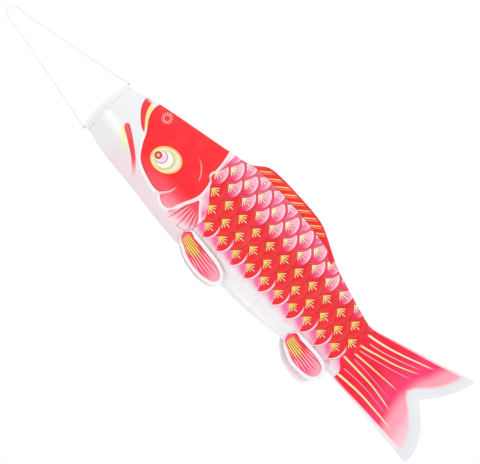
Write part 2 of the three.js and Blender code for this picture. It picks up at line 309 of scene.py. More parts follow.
LOWER_LOBE = [[-91, 1003], [-76, 1004], [-53, 1000], [-30, 988], [-8, 971], [FORK_HEIGHT, 931]]


def with_hem(knots):
    curve = curve_through(knots)
    return lambda place: curve(np.maximum(place, HEM_DEPTH))


back_line, belly_line, side_bulge = map(with_hem, (BACK_LINE, BELLY_LINE, SIDE_BULGE))
upper_lobe, lower_lobe = curve_through(UPPER_LOBE), curve_through(LOWER_LOBE)


def trailing_edge(height):
    return np.where(height > FORK_HEIGHT, upper_lobe(height), lower_lobe(height))


def flank(place, girth, inset=0.0):
    """How far out and how high a point of the flank is. girth is 1 at the back, -1 at the belly."""
    middle = (back_line(place) + belly_line(place)) / 2
    half = (back_line(place) - belly_line(place)) / 2 - inset
    power = 0.5 + 0.1 * smoothstep(place, HEM_DEPTH, 110)
    bulge = (side_bulge(place) - inset) * np.maximum(1 - girth**2, 0) ** power
    return GAP / 2 + bulge, middle + half * girth


fork_middle = (back_line(931) + belly_line(931)) / 2
FORK_GIRTH = float((FORK_HEIGHT - fork_middle) / (back_line(931) - fork_middle))


def girths_at(place, turn):
    """Girths of the rows, which gather to the fork's notch towards the end of the tail."""
    middle = FORK_GIRTH * smoothstep(place, 700, 900)
    return middle + turn * np.where(turn > 0, 1 - middle, 1 + middle)


# ---- Mesh helpers --------------------------------------------------------------------------------


def add_mesh(name, points, faces, material, flat=0, uv=None, values=None):
    """A mesh from points in millimetres, smooth but for its last faces. uv and values go by point."""
    mesh = bpy.data.meshes.new(name)
    mesh.from_pydata((np.asarray(points) * MM).tolist(), [], np.asarray(faces).tolist())
    mesh.polygons.foreach_set("use_smooth", np.arange(len(mesh.polygons)) < len(mesh.polygons) - flat)
    if uv is not None:
        corners = np.zeros(len(mesh.loops), int)
        mesh.loops.foreach_get("vertex_index", corners)
        layer = mesh.uv_layers.new(name="print")
        layer.data.foreach_set("uv", (np.asarray(uv) * MM)[corners].ravel().astype(np.float32))
    for key, value in (values or {}).items():
        mesh.attributes.new(key, "FLOAT", "POINT").data.foreach_set("value", value.astype(np.float32))
    mesh.materials.append(material)
    made = bpy.data.objects.new(name, mesh)
    scene.collection.objects.link(made)
    return made


def grid_faces(rows, columns, first=0, flip=False, around=False):
    """Quads of a grid of points that is stored row by row."""
    r, c = np.meshgrid(np.arange(rows - 1 + around), np.arange(columns - 1), indexing="ij")
    below = (r + 1) % rows
    quads = np.stack([r * columns + c, r * columns + c + 1, below * columns + c + 1, below * columns + c], -1)
    quads = quads.reshape(-1, 4) + first
    return quads[:, ::-1] if flip else quads


def shell(outer, inner, flip):
    """Points and faces of a closed thin wall between two grids of points, and how many are its rim."""
    rows, columns = outer.shape[:2]
    n = rows * columns
    at = np.arange(n).reshape(rows, columns)
    rim = np.concatenate([at[0], at[1:, -1], at[-1, -2::-1], at[-2:0:-1, 0]])
    nxt = np.roll(rim, -1)
    sides = np.stack([rim, rim + n, nxt + n, nxt], -1)
    faces = np.concatenate([
        grid_faces(rows, columns, 0, flip),
        grid_faces(rows, columns, n, not flip),
        sides[:, ::-1] if flip else sides,
    ])
    return np.concatenate([outer.reshape(-1, 3), inner.reshape(-1, 3)]), faces, len(sides)


def grid_normals(points):
    along = np.gradient(points, axis=1)
    down = np.gradient(points, axis=0)
    normal = np.cross(along, down)
    return normal / np.maximum(np.linalg.norm(normal, axis=-1, keepdims=True), 1e-9)


def tube_points(path, radius, sides, lobes=0, depth=0.0, turns_per_mm=0.0):
    """Rings along a path, with lobes that wind round it as the plies of a string do."""
    path = np.asarray(path, float)
    step = np.gradient(path, axis=0)
    step /= np.linalg.norm(step, axis=1, keepdims=True)
    normal = np.cross(step[0], [0.0, 1, 0.2])
    normals = []
    for direction in step:
        normal = normal - direction * (normal @ direction)
        normal /= np.linalg.norm(normal)
        normals.append(normal)
    normals = np.array(normals)
    binormals = np.cross(step, normals)
    length = np.concatenate([[0], np.cumsum(np.linalg.norm(np.diff(path, axis=0), axis=1))])
    angle = np.arange(sides) * 2 * math.pi / sides
    twist = angle[None, :] - 2 * math.pi * turns_per_mm * length[:, None]
    reach = np.broadcast_to(np.asarray(radius, float).reshape(-1, 1), (len(path), 1))
    reach = reach * (1 - depth * (0.5 - 0.5 * np.cos(lobes * twist)))
    ring = np.cos(angle)[None, :, None] * normals[:, None] + np.sin(angle)[None, :, None] * binormals[:, None]
    points = path[:, None] + ring * reach[..., None]
    uv = np.stack(np.broadcast_arrays(length[:, None], twist), -1)
    return points, uv


def tube(path, radius, sides, closed=False, **winding):
    points, uv = tube_points(path, radius, sides, **winding)
    rings = len(points)
    r, s = np.meshgrid(np.arange(rings - 1 + closed), np.arange(sides), indexing="ij")
    nxt, beside = (r + 1) % rings, (s + 1) % sides
    quads = np.stack([r * sides + s, r * sides + beside, nxt * sides + beside, nxt * sides + s], -1)
    faces = quads.reshape(-1, 4).tolist()
    if not closed:
        faces += [list(range(sides))[::-1], list(range((rings - 1) * sides, rings * sides))]
    return points.reshape(-1, 3), faces, uv.reshape(-1, 2)


def add_tubes(name, tubes, material):
    """One object from several tubes."""
    points, faces, uvs, first = [], [], [], 0
    for made in tubes:
        points.append(made[0])
        uvs.append(made[2])
        faces += [[i + first for i in face] for face in made[1]]
        first += len(made[0])
    mesh = bpy.data.meshes.new(name)
    mesh.from_pydata((np.concatenate(points) * MM).tolist(), [], faces)
    mesh.polygons.foreach_set("use_smooth", np.full(len(mesh.polygons), True))
    corners = np.zeros(len(mesh.loops), int)
    mesh.loops.foreach_get("vertex_index", corners)
    layer = mesh.uv_layers.new(name="print")
    layer.data.foreach_set("uv", (np.concatenate(uvs) * MM)[corners].ravel().astype(np.float32))
    mesh.materials.append(material)
    made = bpy.data.objects.new(name, mesh)
    scene.collection.objects.link(made)
    return made


# ---- Bridle --------------------------------------------------------------------------------------
# The string's points are those of the part, in metres: from the upper knot round the loop to the
# lower knot.
UPPER_LEG = [
    (0, 0), (0.0009, 0.0055), (0.0036, 0.0102), (0.009, 0.0136), (0.018, 0.0156), (0.034, 0.0178),
    (0.058, 0.0216), (0.09, 0.0272), (0.126, 0.034), (0.164, 0.0412), (0.202, 0.0486),
    (0.24, 0.056), (0.27, 0.062), (0.2965, 0.0677),
]
ROUTE = [(x, 0, z) for x, z in UPPER_LEG[::-1]] + [(x, 0, -z) for x, z in UPPER_LEG[1:]]
STRING = 1.5
STRING_STEP = 0.9


def smooth_path(route, step):
    """Points along a smooth curve through a route, about step apart."""
    route = np.asarray(route, float)
    ends = np.concatenate([[2 * route[0] - route[1]], route, [2 * route[-1] - route[-2]]])
    path = []
    for a, b, c, d in zip(ends, ends[1:], ends[2:], ends[3:]):
        count = max(int(np.linalg.norm(c - b) / step), 1)
        t = (np.arange(count) / count)[:, None]
        path.append(0.5 * (2 * b + (c - a) * t + (2 * a - 5 * b + 4 * c - d) * t**2 + (3 * b - a - 3 * c + d) * t**3))
    return np.concatenate([*path, route[-1:]])


def string_material(name, colour, shade):
    paint = Paint(name, 0.85)
    along, round_it = paint.uv("print")
    along, round_it = along * 1000, round_it * 1000
    fibres = paint.noise(along * 0.6, round_it * 3, 1.5, 3.0)
    paint.base(colour)
    # Painted shade: darker in the grooves between the plies.
    paint.lay(shade, (0.5 + (round_it * 3).do("COSINE") * -0.5) * 0.35)
    paint.lay(shade, fibres.most(0) * 0.35)
    paint.shade(fibres, 0.15 * MM, 0.5)
    return paint.done()


STRING_WHITE = string_material("white string", "#EAEAEC", "#ABADB6")
THREAD_WHITE = string_material("white thread", "#F7F6F7", "#C9C6CC")

string_path = smooth_path(np.array(ROUTE) / MM, STRING_STEP)
string_tube = tube(string_path, STRING / 2, 12, lobes=3, depth=0.24, turns_per_mm=0.14)
bridle_string = add_tubes("bridle_string", [string_tube], STRING_WHITE)
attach(bridle_string, "bridle")
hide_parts("bridle_cord")

KNOT_PLACE = (299.3, 68.6)
HOOP_PLACE = 3.3
knots = []
for name, up in (("knot_upper", 1), ("knot_lower", -1)):
    t = np.arange(72) * 2 * math.pi / 72
    loops = np.stack([np.sin(t) + 2 * np.sin(2 * t), -1.2 * np.sin(3 * t), np.cos(t) - 2 * np.cos(2 * t)], -1)
    centre = np.array([KNOT_PLACE[0], 0, up * KNOT_PLACE[1]])
    made = tube(centre + loops * 0.62, 0.72, 10, closed=True, lobes=3, depth=0.2, turns_per_mm=0.14)
    knots.append(add_tubes(name + "_tied", [made], STRING_WHITE))
    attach(knots[-1], "bridle")
    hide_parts(name)

# ---- The print -----------------------------------------------------------------------------------
# Every layer below takes p, the place along the fish, and q, the height, in millimetres.
SCALE_PITCH = 42
SCALE_ROW = 30.4
ROW_HEIGHTS = [[-110, 7.8], [-58, 6], [-28.5, 5], [2.4, 4], [35, 3], [66.6, 2], [95.2, 1], [124, 0], [160, -1.2]]
SCALE_REACH = 37.7  # radius of a scale about its root
SCALE_STRETCH = 1.06  # it is this much shorter along the fish
FIRST_SCALE = 310  # place of one scale of an even row
RAY_TURN = 0.335  # between the rays of a scale's fan, in radians


def scale_under(paint, p, q):
    """The scale that shows at a point: the distances from its root along and up, and its row."""
    down = paint.curve(q - (p - 450).most(0) * 0.032, ROW_HEIGHTS)
    nearest = (down + 0.5).do("FLOOR")
    found = None
    for offset in (-1, 0, 1):
        row = nearest + offset
        up = (row - down) * SCALE_ROW
        odd = (row * 0.5).do("FRACT") * 2
        start = odd * (SCALE_PITCH / 2) - row.below(0.5) * 6 + (row - 2).most(0) + FIRST_SCALE
        half = (SCALE_REACH**2 - up * up).most(0).root() / SCALE_STRETCH
        first = (((p - half - start) / SCALE_PITCH).do("CEIL") * SCALE_PITCH) + start
        root = first + first.above(p + half) * 1000
        if found is None:
            found = (root, up, row)
            continue
        nearer = found[0].below(root)
        found = tuple(old * nearer + new * (1 - nearer) for old, new in zip(found, (root, up, row)))
    root, up, row = found
    return (p - root) * SCALE_STRETCH, up, row


def ramp(paint, value, colours):
    """A colour for each whole number from 0 up."""
    made = paint.tree.nodes.new("ShaderNodeValToRGB")
    made.color_ramp.interpolation = "CONSTANT"
    points = made.color_ramp.elements
    points[0].color = rgb(colours[0])
    points[1].position, points[1].color = 1.0, rgb(colours[-1])
    for i, code in enumerate(colours[1:], 1):
        points.new((i - 0.5) / len(colours)).color = rgb(code)
    paint.tree.links.new((value / len(colours)).socket, made.inputs[0])
    return made.outputs[0]


def lay_scales(paint, p, q, zone):
    """Seven rows of overlapping scales with a fan of rays at each root."""
    along, up, row = scale_under(paint, p, q)
    reach = (along * along + up * up).root()
    upper = ramp(paint, row, ["#FBC6D8", "#FBB6CC", "#FBB0C6", "#EC2A31", "#F02D35", "#F2303A", "#F795B5"])
    lower = ramp(paint, row, ["#F271A0", "#F23A64", "#F22B4C", "#F0262E", "#F42B33", "#F62D38", "#FADDE5"])
    tone = paint.spread(up + along * 0.45, -9, 25, smooth=True)
    fill = paint.mix(lower, upper, tone)
    fill = paint.mix(fill, rgb("#D5203C"), paint.spread(reach, 28, 37, 0, 0.4) * row.below(5.5))
    # A ring stands round each: coral on the pink rows, striped on the red ones, pale by the belly.
    pink_row, red_row = row.below(2.5), paint.stripe(row - 3.5, 0.9, 0.1)
    print_tint_and_painted_shadow = paint.stripe(reach - 21, 5, 8) * paint.stripe(up + 4, 9, 12) * pink_row
    fill = paint.mix(fill, rgb("#EF5796"), print_tint_and_painted_shadow * 0.6)
    fill = paint.mix(fill, rgb("#FDDFE8"), paint.stripe(reach - 30.4, 1.3, 1.6) * pink_row * paint.spread(up, -14, 6) * 0.9)
    coral = paint.mix(rgb("#E92F42"), rgb("#EF6A78"), paint.spread(row, 1.6, 0.4).most(paint.spread(up, -6, 26) * 0.5))
    fill = paint.mix(fill, coral, paint.inside(reach - 32.6, 1.0) * pink_row)
    fill = paint.mix(fill, rgb("#C4284A"), paint.stripe(reach - 32.8, 0.55, 1.0) * pink_row * 0.75)
    for radius, strength in ((35.2, 0.8), (31.4, 0.6), (27.8, 0.35)):
        fill = paint.mix(fill, rgb("#FF6A55"), paint.stripe(reach - radius, 0.55, 0.9) * red_row * strength)
        fill = paint.mix(fill, rgb("#B81F2A"), paint.stripe(reach - radius + 1.8, 0.5, 0.9) * red_row * strength * 0.5)
    low_rim = row.above(4.5) * paint.spread(up, 20, 6).most(row.above(5.5))
    fill = paint.mix(fill, rgb("#A82B35"), paint.stripe(reach - 32.2, 0.7, 1.2) * low_rim * row.below(5.5) * 0.7)
    fill = paint.mix(fill, rgb("#FBD3DB"), paint.inside(reach - 33.0, 1.2) * low_rim)
    outline = paint.inside(reach - 36.5, 1.0) * row.below(5.5)
    fill = paint.mix(fill, rgb("#B51D33"), outline * (1 - low_rim * 0.5) * 0.8)
    # The fan of rays.
    angle = up.do("ARCTAN2", along.most(0.01))
    turn = angle / RAY_TURN
    off = ((turn + 0.5).do("FRACT") - 0.5).size() * reach * RAY_TURN
    length = (1 - turn.size()).most(0) * 7 + 18.5 - (turn.size() - 2).most(0) * 4
    taper = 1.72 - reach * 0.038
    spoke = paint.stripe(angle, 1.15, 0.12) * along.above(0.3) * row.below(5.5)
    fan = paint.inside(taper - off, 0.8) * paint.inside(length - reach, 3) * spoke
    gold = ramp(paint, row, ["#FADDD6", "#FDE6C0", "#FDE1B2", "#FCD165", "#FCD45E", "#FCD75F", "#FFFFFF"])
    pale = paint.mix(gold, rgb("#FFF0E6"), paint.spread(reach, 10, 20, 0, 0.7))
    dark = ramp(paint, row, ["#E0668F", "#C42A56", "#B92040", "#9E2018", "#9E2018", "#9E2018", "#FFFFFF"])
    shadow = paint.inside(taper + 1.2 - off, 1.2) * paint.inside(length - 1 - reach, 3) * spoke
    fill = paint.mix(fill, dark, shadow * paint.spread(reach, 4, 9) * 0.8)
    fill = paint.mix(fill, pale, fan)
    # The lowest row is strongest in the corner by the row above, and fades into the white of the belly.
    corner = paint.spread(up + along * 0.45, 12, 31, smooth=True) * row.above(5.5)
    fill = paint.mix(fill, rgb("#F9DCE6"), row.above(5.5) * (1 - corner) * 0.5)
    fill = paint.mix(fill, rgb("#F2569A"), corner * 0.75)
    fill = paint.mix(fill, rgb("#F3EFF1"), paint.spread(q, -46, -64, smooth=True) * row.above(4.5))
    paint.lay(fill, zone)


DORSAL_BASE = [
    [300, 127], [318, 133], [345, 135], [385, 135], [430, 134], [470, 131], [500, 128], [530, 124],
    [560, 118.5], [580, 106], [595, 100],
]
DORSAL_TOP = [
    [300, 128], [316, 131.5], [346, 153.5], [381, 158.5], [440, 157], [489, 153.5], [524, 146],
    [573, 121.5], [600, 107],
]


def lay_back_fin(paint, p, q):
    """The printed fin along the back, with slanted pairs of yellow strokes."""
    base, top = paint.curve(p, DORSAL_BASE), paint.curve(p, DORSAL_TOP)
    zone = paint.inside(q - base) * paint.stripe(p - 453, 139, 3)
    paint.lay("#F22A33", zone)
    paint.lay("#C81A2C", zone * paint.stripe(q - base, 2.4, 2.4) * 0.6)
    slant = p - (q - 135) * 1.2
    beat = ((slant - 332) / 24.2).do("FRACT") * 24.2
    room = paint.inside(q - base - 1, 3) * paint.inside(top - q - 4, 5) * paint.stripe(slant - 442, 106, 2)
    for at, half, colour, strength in (
        (8.4, 1.2, "#A3231D", 0.7), (5.4, 1.9, "#FFD27A", 1.0), (12.2, 1.2, "#FFA765", 0.9), (14.8, 0.8, "#A3231D", 0.5),
    ):
        paint.lay(colour, paint.stripe(beat - at, half, 1.2) * room * strength)
    paint.lay("#B91F3E", paint.stripe(top - q - 0.8, 1.0, 1.6) * paint.spread(p, 312, 330) * paint.spread(p, 585, 560) * 0.8)


GILL_FRONT = [
    [-75, 335], [-50, 333], [-40, 331], [-25, 325], [-10, 319.5], [0, 315], [18, 300], [30, 290.5],
    [40, 281], [48, 273], [56, 268], [62, 269], [75, 276], [90, 277.5], [125, 277.5],
]
HEAD_REAR = [
    [-70, 258], [-48, 262], [-35, 267.5], [-28, 270], [-20, 274], [-5, 280], [10, 282.5], [28, 281],
    [45, 276], [57, 266], [62, 267], [68, 269.5], [80, 269], [100, 266], [121, 261],
]
HEAD_FRONT = [
    [-52, 160], [-40, 150], [-32, 140], [-22, 130], [-10, 122], [0, 116], [8, 112], [15, 109], [24, 103.5],
    [34, 96], [46, 88], [58, 82.5], [72, 80.5], [80, 81.5], [85, 84], [88, 88],
]
HEAD_BELOW = [
    [100, 24], [112, 4], [122, -10], [130, -21.5], [140, -31.5], [155, -39.5], [175, -46], [195, -51],
    [207, -52], [216, -50.5], [221, -54], [232, -61], [245, -64.5], [256, -60.5], [263, -50], [270, -34],
]


def lay_mouth(paint, p, q):
    """White cloth round the mouth, with a painted highlight and painted shade on it, and both lips."""
    paint.base("#EBEAEC")
    # Painted highlight: a brighter band across the white cloth of the mouth.
    paint.lay("#FFFFFF", paint.stripe(q + 8 + p * 0.13, 9, 16) * paint.spread(p, 4, 20) * paint.spread(p, 95, 55) * 0.75)
    # Painted shade: a soft grey band lower on the mouth cloth.
    paint.lay("#E7E7EC", paint.stripe(q + 45, 8, 16) * paint.spread(p, 90, 10) * 0.5)
    # Painted shade: the lower side of the mouth cloth, and the white below the head, turn darker and pinkish.
    underside_shade = paint.spread(q, -20, -62, smooth=True) * paint.spread(p, 40, 110, smooth=True)
    paint.lay("#EFDCE2", underside_shade * 0.9)
    paint.lay("#E6D3DA", paint.spread(q, -72, -98) * paint.spread(p, 120, 300) * 0.45)
    # Upper lip: a red crescent with a yellow one inside it.
    front = paint.curve(q, [[14, 105], [17, 99], [22, 89], [31, 77.5], [42, 66.5], [55, 57], [68, 52.5], [80, 53]])
    lip = paint.inside(p - front) * paint.inside(q - 17, 3)
    middle = paint.curve(q, [[14, 108], [20, 102], [32, 90], [44, 80], [58, 72.5], [72, 69], [82, 70]])
    ending = paint.spread(q, 80, 70, smooth=True)
    paint.lay("#EE3B4B", lip * paint.inside(middle - p) * ending)
    paint.lay("#C4283A", paint.stripe(p - front - 1, 0.9, 2.2) * lip * ending * 0.6)
    rear = paint.curve(q, [[14, 109], [18, 105.5], [30, 98], [42, 89.5], [54, 82], [65, 79], [78, 79.5]])
    gold = paint.inside(p - middle) * paint.inside(rear - p) * paint.spread(q, 78, 64, smooth=True)
    paint.lay("#FEE27C", gold * paint.inside(q - 18, 3))
    # Lower lip: a red stroke that fades to pink, and a yellow-green one below it.
    centre = paint.curve(p, [[58, 2.5], [66, 0], [80, -7.5], [100, -20.5], [118, -33.5], [135, -48], [154, -67]])
    width = paint.spread(p, 57, 66, 1, 7.8) * paint.spread(p, 66, 150, 1, 0.72)
    fade = paint.spread(p, 160, 124, smooth=True)
    stroke = paint.inside(width - (q - centre).size(), 1.8) * paint.spread(p, 58, 62)
    paint.lay("#FA4B52", stroke * fade)
    paint.lay("#CB2434", paint.stripe((q - centre).size() - width + 0.9, 0.8, 1.6) * stroke * paint.spread(p, 130, 90) * 0.55)
    paint.lay("#FA7076", paint.stripe(q - centre, 2.0, 3) * stroke * paint.spread(p, 90, 66) * 0.6)
    under = paint.curve(p, [[56, -6], [66, -13], [78, -22], [92, -33], [104, -42], [114, -48]])
    glow = paint.stripe(q - under, 4.8, 3.2) * paint.spread(p, 56, 61) * paint.spread(p, 114, 78, smooth=True)
    paint.lay("#F8F7A2", glow)
    paint.lay("#DDE9C2", paint.stripe(q - under, 3.4, 3.4) * paint.spread(p, 84, 100) * paint.spread(p, 118, 100) * 0.55)


def lay_head(paint, p, q):
    """The red head, its chin, cheek and forehead marks."""
    front, rear = paint.curve(q, HEAD_FRONT), paint.curve(q, HEAD_REAR)
    below = paint.curve(p, HEAD_BELOW)
    depth = ((p - front) * 0.84).least(rear - p).least((q - below) * 0.85)
    chin = paint.spread(p, 190, 225, smooth=True) * paint.spread(q, -8, -56)
    # A white edge stands round the chin and behind the head.
    paint.lay("#FBF4F5", paint.inside(depth + 6.5, 3) * paint.spread(q, 40, 10) * 0.85)
    paint.lay("#FBDDE3", paint.inside(depth + 5.5, 3) * paint.spread(p, 250, 265) * 0.9)
    zone = paint.inside(depth)
    paint.lay("#FD2E36", zone)
    jaw = paint.spread(q, -6, -42, smooth=True) * paint.spread(p, 135, 190)
    paint.lay("#F95F6E", zone * jaw * 0.8)
    paint.lay("#F9A3AE", zone * paint.spread(q, -30, -62) * paint.spread(p, 214, 236) * 0.9)
    edge = paint.spread(p, 250, 215).most(paint.spread(q, -20, 0))
    paint.lay("#A81426", paint.stripe(depth - 0.7, 0.8, 1.4) * edge * 0.75)
    paint.lay("#B81C2C", zone * paint.inside(q - 85.8 - (p - 87) * 0.19, 1.6) * 0.7)
    slit = paint.curve(q, [[-58, 216], [-50, 220], [-42, 226.5], [-30, 233], [-18, 235.5]])
    width = paint.spread(q, -18, -56, 0.6, 4.2)
    paint.lay("#F9D2D9", paint.inside(width - (p - slit).size(), 1.8) * paint.spread(q, -16, -24) * paint.spread(q, -64, -54) * chin.most(0.8))
    paint.lay("#C2263A", paint.inside(1.1 - (p - slit + width + 1.4).size(), 1.8) * paint.spread(q, -22, -34) * paint.spread(q, -55, -48) * 0.6)
    cheek = paint.curve(p, [[215, 65], [228, 61], [240, 54], [250, 44], [257, 33], [261, 23]])
    paint.lay("#FFC9CC", paint.stripe((q - cheek) * 0.72, 0.9, 2) * paint.spread(p, 222, 250) * paint.spread(q, 24, 30))
    # A small burst of dashes on the forehead.
    x, y = p - 115, q - 75
    away = (x * x + y * y).root()
    turn = (y.do("ARCTAN2", x) * (15 / (2 * math.pi))).do("FRACT") - 0.5
    burst = paint.inside(0.75 - turn.size() * away * 0.42, 0.7) * paint.stripe(away - 9.6, 3.4, 1.2)
    paint.lay("#C4202C", paint.stripe(away - 9.6, 4.5, 2) * 0.45)
    paint.lay("#FFC0BA", burst)


def oval(paint, p, q, centre, half_length, half_width, tilt):
    """Signed distance inside a tilted oval, near enough."""
    x, y = p - centre[0], q - centre[1]
    c, s = math.cos(tilt), math.sin(tilt)
    u, v = (x * c + y * s) / half_length, (y * c - x * s) / half_width
    return (1 - (u * u + v * v).root()) * ((half_length + half_width) / 2)


def lay_eye(paint, p, q):
    ball = oval(paint, p, q, (178, 8.5), 35.5, 28.5, math.radians(20))
    paint.lay("#B5531F", paint.inside(ball + 0.8, 1.8) * 0.8)
    paint.lay("#FFCB7C", paint.inside(ball, 1.6))
    paint.lay("#F3E5D3", paint.inside(ball - 4.2, 2.4))
    paint.lay("#FFF0A8", paint.inside(ball, 1.6) * paint.spread(q, -6, -16) * 0.7)
    green = oval(paint, p, q, (174.5, 6.5), 25, 24.5, 0.35)
    paint.lay("#C7D987", paint.stripe(green - 3.2, 2.5, 2.4) * paint.spread(p, 154, 178))
    paint.lay("#FBF3EE", paint.inside(green - 6.6, 2))
    disc = oval(paint, p, q, (166, 5.5), 14.2, 14.2, 0)
    paint.lay("#EFD3EA", paint.inside(disc, 1.6) * paint.spread(p, 160, 172))
    paint.lay("#9C3D68", paint.stripe(disc - 0.5, 0.7, 1.2) * paint.spread(p, 156, 164))
    pupil = oval(paint, p, q, (158.5, 4), 8.6, 8.6, 0)
    paint.lay("#A32B1E", paint.inside(pupil, 1.2))
    paint.lay("#DB4F35", paint.inside(pupil - 1.6, 1.4))
    paint.lay("#FBC77E", paint.inside(pupil - 5.0, 1.4))


FAN_FRONT = [[-76, 292], [-67, 260], [-56, 266], [-46, 271.5], [-36, 274.5], [-26, 279], [-12, 286], [0, 290]]
FAN_REAR = [[-76, 298], [-70, 315], [-62, 324], [-50, 327.5], [-38, 322.5], [-26, 312], [-13, 300], [0, 290]]


def lay_gill(paint, p, q):
    """The pink band behind the head and the fan-shaped gill flap below it."""
    edge = paint.curve(q, GILL_FRONT)
    band = paint.inside(edge - p, 1.4) * paint.inside(q + 62, 14) * paint.spread(p, 240, 250)
    paint.lay("#FBE3E9", band)
    flush = paint.stripe(q - 12, 16, 22) * paint.spread(edge - p, 34, 6)
    paint.lay("#FAA6BE", band * flush * paint.spread(p, 276, 284))
    paint.lay("#FD6BA3", band * paint.stripe(q + 16, 11, 16) * paint.spread(edge - p, 20, 6) * 0.95)
    paint.lay("#FF93A9", band * paint.stripe(q - 84, 22, 18) * paint.spread(edge - p, 12, 2) * 0.85)
    paint.lay("#C6234A", paint.stripe(edge - p + 0.6, 0.7, 1.6) * paint.spread(q, -20, -6) * 0.6)


def lay_fan(paint, p, q):
    front, rear = paint.curve(q, FAN_FRONT), paint.curve(q, FAN_REAR)
    depth = ((p - front) * 0.8).least((rear - p) * 0.8).least(q + 75.5).least(-4 - q)
    zone = paint.inside(depth)
    paint.lay("#FCE6EA", paint.inside(depth + 5, 3) * 0.8)
    paint.lay("#EF4B5C", zone)
    paint.lay("#F58496", zone * paint.spread(q, -36, -54, smooth=True))
    paint.lay("#FDDDE4", zone * paint.spread(q - (p - 295) * 0.15, -52, -70, smooth=True) * 0.9)
    x, y = p - 290, 18 - q
    turn = x / y.most(1)
    ray = ((turn * 7.2 + 0.5).do("FRACT") - 0.5).size() * y * (1 / 7.2)
    paint.lay("#FFDDE0", zone * paint.inside(0.9 - ray, 1.6) * paint.spread(q, -22, -40))
    dark = ((turn * 3.6 + 0.28).do("FRACT") - 0.5).size() * y * (1 / 3.6)
    paint.lay("#8F2440", zone * paint.inside(0.6 - dark, 1.2) * paint.spread(q, -32, -44) * 0.85)
    paint.lay("#8F2440", paint.stripe(depth - 0.6, 0.8, 1.2) * paint.spread(p, 286, 300) * paint.spread(q, -34, -48) * 0.8)


def lay_belly(paint, p, q):
    """Painted shade and a painted highlight on the white belly, a pink band of painted shadow above the pectoral fin,
    and the line of stitches near its seam.
    """
    # Painted shade: a soft grey band along the belly.
    paint.lay("#E9E8EC", paint.stripe(q + 66, 5, 16) * paint.spread(p, 420, 480) * 0.55)
    # Painted highlight: a bright band lower on the belly.
    paint.lay("#FBFBFC", paint.stripe(q + 88, 4, 12) * paint.spread(p, 440, 500) * 0.8)
    # Painted shadow: a pink band on the flank just above the pectoral fin.
    print_tint_and_painted_shadow = paint.curve(p, [[335, -57], [370, -60], [400, -64], [430, -70], [448, -79], [456, -90]])
    paint.lay("#F4BDBB", paint.stripe(q - print_tint_and_painted_shadow, 1.6, 3.6) * paint.spread(p, 342, 360) * paint.spread(p, 456, 440) * 0.7)
    edge = paint.curve(p, [[317, -101], [455, -98.5], [528, -98], [627, -88], [683, -78.5], [740, -69]])
    paint.lay("#DDDDE2", paint.stripe(q - edge - 5, 0.9, 1.8) * paint.spread(p, 330, 380) * 0.8)


TAIL_RAYS = [
    ("#FFEBC6", 3.0, [[755, 50], [780, 54.5], [800, 59], [840, 71], [870, 82], [900, 93], [916, 100]]),
    ("#FFB6C4", 1.6, [[770, 38], [800, 44], [840, 57], [870, 68], [897, 80]]),
    ("#FFD9A0", 2.8, [[758, 21.5], [780, 26.5], [800, 32.5], [840, 44], [870, 56], [900, 70]]),
    ("#FFA9BD", 1.6, [[765, 12], [800, 20.5], [830, 28.5], [860, 37], [896, 51]]),
    ("#FFCFA4", 2.6, [[762, 0.5], [800, 4], [840, 6.5], [870, 8.5], [890, 9.3]]),
    ("#FF8CA0", 1.5, [[770, -8.5], [810, -9.5], [850, -12.5], [890, -16.5]]),
    ("#FFE0A8", 2.8, [[749, -20], [800, -21], [830, -22], [870, -27], [908, -34.5]]),
    ("#FF97A9", 1.5, [[768, -39], [820, -36.5], [860, -39], [907, -46.5]]),
    ("#FFEBB0", 3.0, [[763, -57.5], [800, -54], [830, -53], [870, -55], [910, -58], [938, -61.5]]),
]
TAIL_FRONT = [
    [-72, 762], [-58, 767], [-46, 764], [-34, 752], [-20, 747], [-8, 750], [2, 760], [11, 764], [22, 760],
    [32, 751], [42, 748], [50, 753], [58, 764], [70, 768],
]
TAIL_RED_END = [[-75, 923], [-40, 914], [0, 906], [50, 910], [80, 922], [100, 929], [125, 938]]
FORK_INNER = [
    [-90, 975], [-65, 972], [-45, 965], [-25, 950], [-5, 930], [8, 914], [18, 904.5], [24, 902],
    [30, 903.5], [40, 909], [57, 925], [82, 945], [110, 960], [130, 965],
]


def lay_tail(paint, p, q):
    """The red forked tail: rays that fade into its pink ends, and a pale border."""
    front = paint.curve(q, TAIL_FRONT)
    zone = paint.inside(p - front, 2)
    paint.lay("#F52640", zone)
    fade = paint.curve(q, TAIL_RED_END)
    paint.lay("#FA3D72", zone * paint.spread(p - fade, -90, -22, smooth=True))
    paint.lay("#D9222F", zone * paint.noise(p * 0.12, q, 0.07).most(0) * paint.spread(p, 890, 840))
    paint.lay("#FDA3B5", zone * paint.spread(p - fade, -20, 10, smooth=True))
    paint.lay("#F7CAD5", zone * paint.spread(p - fade, 14, 50, smooth=True))
    for colour, width, knots in TAIL_RAYS:
        off = (q - paint.curve(p, knots)).size()
        start, end = knots[0][0], knots[-1][0]
        fading = paint.spread(p, start, start + 5) * paint.spread(p, end, end - 26, smooth=True)
        paint.lay("#A81F2A", paint.inside(width + 0.6 - off, 2.0) * fading * paint.spread(p, 900, 860) * 0.6)
        paint.lay(colour, paint.inside(width * paint.spread(p, start, end, 0.85, 0.45) - off, 1.2) * fading)
    # Pale border: wide along the fork, a narrow hem along the upper and lower edges.
    inner = paint.curve(q, FORK_INNER)
    rim = (p - inner) * 0.8
    upper = paint.curve(p, [[765, 67], [800, 77.5], [840, 89.5], [880, 101.5], [910, 110.5], [950, 124], [997, 139]])
    lower = paint.curve(p, [[765, -66.5], [800, -69], [850, -70.5], [900, -72.5], [950, -75], [1003, -79]])
    side = (q - upper).most(lower - q)
    paint.lay("#FBE2E7", zone * paint.inside(side, 3))
    paint.lay("#E9E9EC", zone * paint.inside(side - 3.4, 2.5))
    paint.lay("#F3D9E0", zone * paint.inside(rim - 0.5, 6))
    paint.lay("#E4E9EC", zone * paint.inside(rim - 5, 5))
    paint.lay("#ECEBF0", zone * paint.inside(rim - 17, 5) * 0.8)


